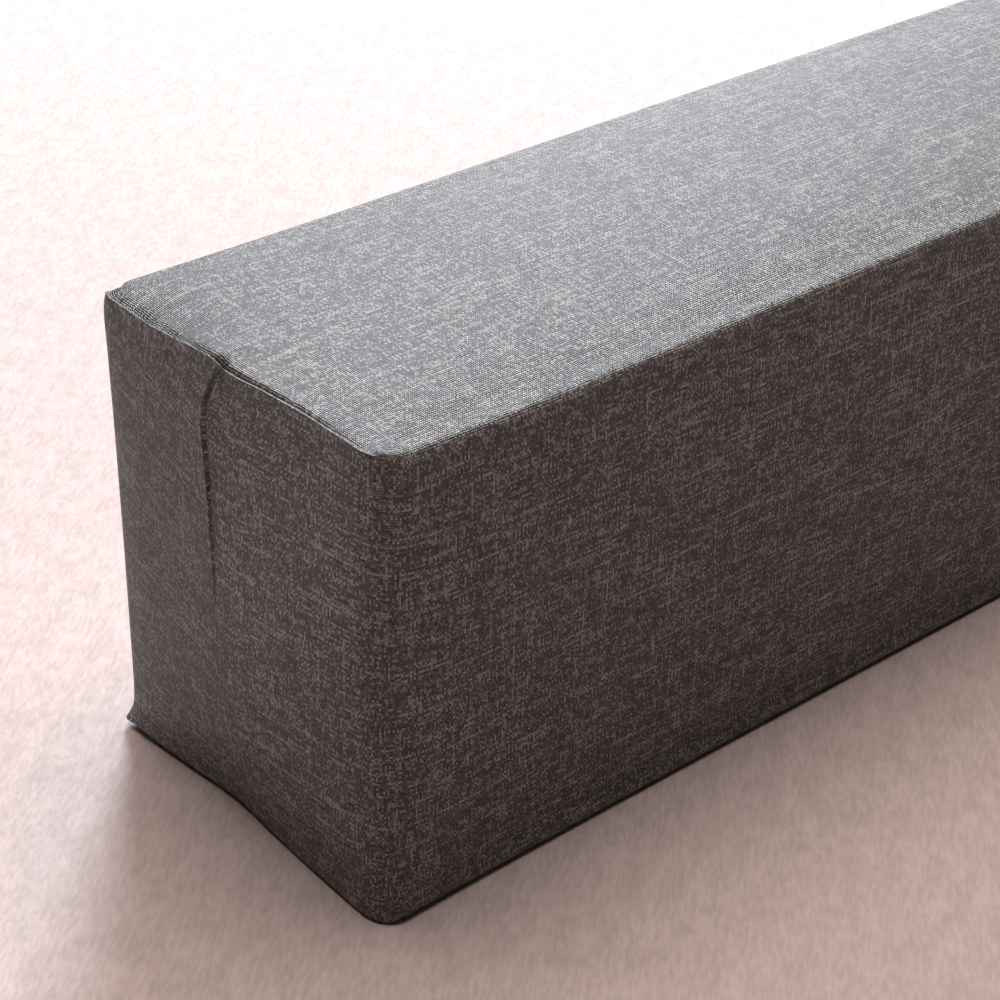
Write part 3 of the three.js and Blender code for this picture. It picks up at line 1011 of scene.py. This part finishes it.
def pleat_wave(cloth, along, round_):
    """A sine round the cloth from -1 to 1, one wave for each fine pleat, moved by noise."""
    stray = cloth.noise(along * PLEAT_WANDER_ALONG, round_ * PLEAT_WANDER_ROUND) * PLEAT_WANDER
    return (round_ * (2 * math.pi / (PLEAT_PITCH * MM)) + stray).math("SINE")


def woven_cloth(looks):
    """Heathered plain weave on the unrolled cloth. Threads of both ways pass over each other in turn. Each
    has its own tone, which drifts along it, and thick pale slubs. Painted shade darkens the gaps between
    threads, the seams' creases and puckers, and the troughs of the pleats."""
    cloth = NodeMaterial("heathered_linen_weave")
    run = cloth.node("ShaderNodeUVMap", {"uv_map": CLOTH_RUN})["UV"]
    split = cloth.node("ShaderNodeSeparateXYZ", inputs={"Vector": run})
    along, round_ = wandering(cloth, split["X"], split["Y"])
    cross_at = along / looks.cross_pitch
    long_at = round_ / looks.long_pitch
    cross_number = cross_at.math("FLOOR")
    long_number = long_at.math("FLOOR")
    cross_over = (cross_number + long_number).math("MODULO", 2).math("ABSOLUTE")
    cross_tone, cross_slub = yarn(cloth, cross_number, long_at, CROSS_YARN)
    long_tone, long_slub = yarn(cloth, long_number, cross_at, LONG_YARN)

    # The height of the thread on top
    cross_round = roundness(cross_at)
    long_round = roundness(long_at)
    cross_height = thread_height(cross_round, long_round, cross_slub)
    long_height = thread_height(long_round, cross_round, long_slub)
    height = cloth.between(long_height, cross_height, cross_over)

    # Its tone, lighter where a slub lies on or just under it, and darkened by painted shade
    tone = cloth.between(long_tone, cross_tone, cross_over)
    tone = tone + (cloth.random(cross_number, long_number) - 0.5) * CROSSING_VARIETY
    long_under = LONG_YARN["slub_under"]
    cross_under = CROSS_YARN["slub_under"]
    long_seen = long_slub * (1 - cross_over * (1 - long_under))
    cross_seen = cross_slub * (cross_under + cross_over * (1 - cross_under))
    tone = tone + long_seen.math("MAXIMUM", cross_seen) * looks.slub_amount * SLUB_PALENESS
    # Painted shade in the gaps beside each thread, deeper where the thread is low
    tone = tone - (1 - height) * GAP_SHADE
    # Painted shade in the troughs of the fine pleats
    gathered = cloth.attribute(GATHERS)
    pleats = pleat_wave(cloth, along, round_)
    tone = tone - (1 - pleats) * gathered * PLEAT_SHADE
    # Painted shade in the seams' creases and puckers
    tone = tone - cloth.attribute(SEAM_SHADE) * SEAM_SHADE_AMOUNT
    colours = (looks.dark_yarn, looks.grey_yarn, looks.pale_yarn)
    stops = tuple(zip((0, 0.5, 1), (tuple(colour) for colour in colours)))

    relief = height * looks.thread_relief + pleats * gathered * PLEAT_RELIEF * MM
    bump = cloth.node("ShaderNodeBump", inputs={"Strength": 1, "Distance": 1, "Height": relief})["Normal"]
    return cloth.finish(**{
        "Base Color": cloth.ramp(tone, stops),
        "Roughness": 0.55,
        "Specular IOR Level": 0.95,
        "Sheen Weight": looks.fuzz,
        "Sheen Roughness": 0.4,
        "Normal": bump,
    })


# The floor's short nap: the way that it leans, in degrees round from +X, and its coarse and its fine bumps,
# as how many there are a metre with it and across it, and how much they change the tone
NAP_HEADING = 42
COARSE_NAP = {"with": 60, "across": 140, "amount": 0.7}
FINE_NAP = {"with": 160, "across": 620, "amount": 0.9}
NAP_CONTRAST = 2
NAP_DARKEST = 0.9
NAP_LIGHTEST = 1.1


def floor_material(looks):
    """A plain pale floor with a faint short nap."""
    floor = NodeMaterial("pale_floor")
    place = floor.node("ShaderNodeTexCoord")["Object"]
    split = floor.node("ShaderNodeSeparateXYZ", inputs={"Vector": place})
    nap = math.radians(NAP_HEADING)
    with_nap = split["X"] * math.cos(nap) + split["Y"] * math.sin(nap)
    across_nap = split["Y"] * math.cos(nap) - split["X"] * math.sin(nap)
    coarse, fine = (
        floor.noise(with_nap * kind["with"], across_nap * kind["across"], detail=2)
        for kind in (COARSE_NAP, FINE_NAP)
    )
    tone = (coarse - 0.5) * COARSE_NAP["amount"] + (fine - 0.5) * FINE_NAP["amount"]
    darkest = tuple(part * NAP_DARKEST for part in looks.floor_colour)
    lightest = tuple(min(part * NAP_LIGHTEST, 1) for part in looks.floor_colour)
    bump = floor.node("ShaderNodeBump", inputs={"Strength": 0.35, "Distance": MM, "Height": fine})["Normal"]
    return floor.finish(**{
        "Base Color": floor.ramp(tone * NAP_CONTRAST + 0.5, ((0, darkest), (1, lightest))),
        "Roughness": 0.95,
        "Specular IOR Level": 0.1,
        "Normal": bump,
    })


def floor_mesh(reach):
    """A flat square grid at height 0, reach to each side."""
    lines = np.linspace(-reach, reach, 9) / MM
    x, y = np.meshgrid(lines, lines, indexing="ij")
    points = np.stack([x.ravel(), y.ravel(), np.zeros(x.size)], axis=1)
    return mesh_from("pale_floor", points, quads(np.arange(x.size).reshape(x.shape), False))


def direction(heading, upward):
    """The unit vector at a heading, in degrees round from +X, and an angle upwards, in degrees."""
    around, up = math.radians(heading), math.radians(upward)
    return np.array([math.cos(up) * math.cos(around), math.cos(up) * math.sin(around), math.sin(up)])


def frame_matrix(place, back, turn=0):
    """The matrix of a camera or lamp at a place, whose back points along back, turned about its own axis by
    turn degrees."""
    right = np.cross([0, 0, 1], back)
    right = right / np.linalg.norm(right)
    up = np.cross(back, right)
    angle = math.radians(turn)
    turned_right = math.cos(angle) * right + math.sin(angle) * up
    turned_up = -math.sin(angle) * right + math.cos(angle) * up
    rows = np.eye(4)
    rows[:3] = np.stack([turned_right, turned_up, back, place], axis=1)
    return Matrix(rows.tolist())


# The camera, from where the worn end meets the floor: its place in metres, and where it looks in degrees
CAMERA_PLACE = (-0.40234, -0.59731, 0.56305)
CAMERA_HEADING = 49.036
CAMERA_DOWN = 31.089
CAMERA_ROLL = 0.587

# The lamps, aimed at a point just inside the worn end: the key stands low behind, opposite the camera, and a
# wide warm one hangs overhead. heading and up are in degrees, and distance and size in metres.
LIGHT_AIM = (0.2, 0, 0.1)
LAMPS = {
    "key_light": {"heading": 49, "up": 25, "distance": 4, "size": 1.4, "colour": (0.845, 0.912, 0.985)},
    "overhead_light": {"heading": 49, "up": 80, "distance": 2.5, "size": 2.5, "colour": (1, 0.83, 0.75)},
}
ROOM_COLOUR = (1, 0.84, 0.79)


def add_camera(looks, worn_end):
    data = bpy.data.cameras.new("camera")
    data.lens = looks.focal_length
    data.sensor_width = 36
    data.clip_start = 0.01
    camera = bpy.data.objects.new("camera", data)
    back = -direction(CAMERA_HEADING, -CAMERA_DOWN)
    camera.matrix_world = frame_matrix(worn_end + np.array(CAMERA_PLACE), back, CAMERA_ROLL)
    scene = bpy.context.scene
    scene.collection.objects.link(camera)
    scene.camera = camera


def add_lamp(name, power, worn_end):
    """A round soft lamp from the table of lamps, which the camera doesn't see."""
    lamp = LAMPS[name]
    data = bpy.data.lights.new(name, "AREA")
    data.shape = "DISK"
    data.size = lamp["size"]
    data.energy = power
    data.color = lamp["colour"]
    made = bpy.data.objects.new(name, data)
    made.visible_camera = False
    back = direction(lamp["heading"], lamp["up"])
    made.matrix_world = frame_matrix(worn_end + np.array(LIGHT_AIM) + back * lamp["distance"], back)
    bpy.context.scene.collection.objects.link(made)


def add_room_light(looks):
    world = bpy.data.worlds.new("room")
    world.use_nodes = True
    background = world.node_tree.nodes["Background"]
    background.inputs["Color"].default_value = (*ROOM_COLOUR, 1)
    background.inputs["Strength"].default_value = looks.room_light
    bpy.context.scene.world = world


class GAPFILLER_OT_make_cover(bpy.types.Operator):
    """Makes the filled cover: one closed mesh with its seams, swell and woven cloth"""

    bl_idname = "gap_filler.make_cover"
    bl_label = "Make the filled cover"

    def execute(self, context):
        size = BlockSizes(context.scene.gap_filler_sizes)
        cover = shown(PIECE, cover_mesh(size))
        cover.data.materials.append(woven_cloth(context.scene.gap_filler_cloth))
        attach(cover, "root")
        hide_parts(NODE)
        return {"FINISHED"}


class GAPFILLER_OT_make_stage(bpy.types.Operator):
    """Makes the pale floor, the soft lights and the camera"""

    bl_idname = "gap_filler.make_stage"
    bl_label = "Make the stage"

    def execute(self, context):
        looks = context.scene.gap_filler_stage
        worn_end = np.array([-context.scene.gap_filler_sizes.length / 2, 0, CAD_LOW.z])
        floor = shown("pale_floor", floor_mesh(looks.floor_reach))
        floor.data.materials.append(floor_material(looks))
        add_camera(looks, worn_end)
        add_lamp("key_light", looks.key_power, worn_end)
        add_lamp("overhead_light", looks.overhead_power, worn_end)
        add_room_light(looks)
        context.scene.view_settings.view_transform = "Standard"
        return {"FINISHED"}


class GAPFILLER_PT_panel(bpy.types.Panel):
    bl_idname = "GAPFILLER_PT_panel"
    bl_label = "Bed gap filler"
    bl_space_type = "VIEW_3D"
    bl_region_type = "UI"
    bl_category = "Gap filler"

    def draw(self, context):
        for group, operator in GROUPS_AND_OPERATORS:
            settings = getattr(context.scene, group)
            for name in type(settings).__annotations__:
                self.layout.prop(settings, name)
            if operator:
                self.layout.operator(operator.bl_idname)


GROUPS_AND_OPERATORS = (
    ("gap_filler_sizes", None),
    ("gap_filler_cloth", GAPFILLER_OT_make_cover),
    ("gap_filler_stage", GAPFILLER_OT_make_stage),
)
GROUP_CLASSES = {
    "gap_filler_sizes": CoverSizes,
    "gap_filler_cloth": ClothLooks,
    "gap_filler_stage": StageLooks,
}
CLASSES = (*GROUP_CLASSES.values(), GAPFILLER_OT_make_cover, GAPFILLER_OT_make_stage, GAPFILLER_PT_panel)


def register():
    for added in CLASSES:
        bpy.utils.register_class(added)
    for name, group in GROUP_CLASSES.items():
        setattr(bpy.types.Scene, name, bpy.props.PointerProperty(type=group))


def unregister():
    for name in GROUP_CLASSES:
        delattr(bpy.types.Scene, name)
    for added in reversed(CLASSES):
        bpy.utils.unregister_class(added)


def main():
    register()
    bpy.ops.gap_filler.make_stage()
    bpy.ops.gap_filler.make_cover()


if __name__ == "__main__":
    main()
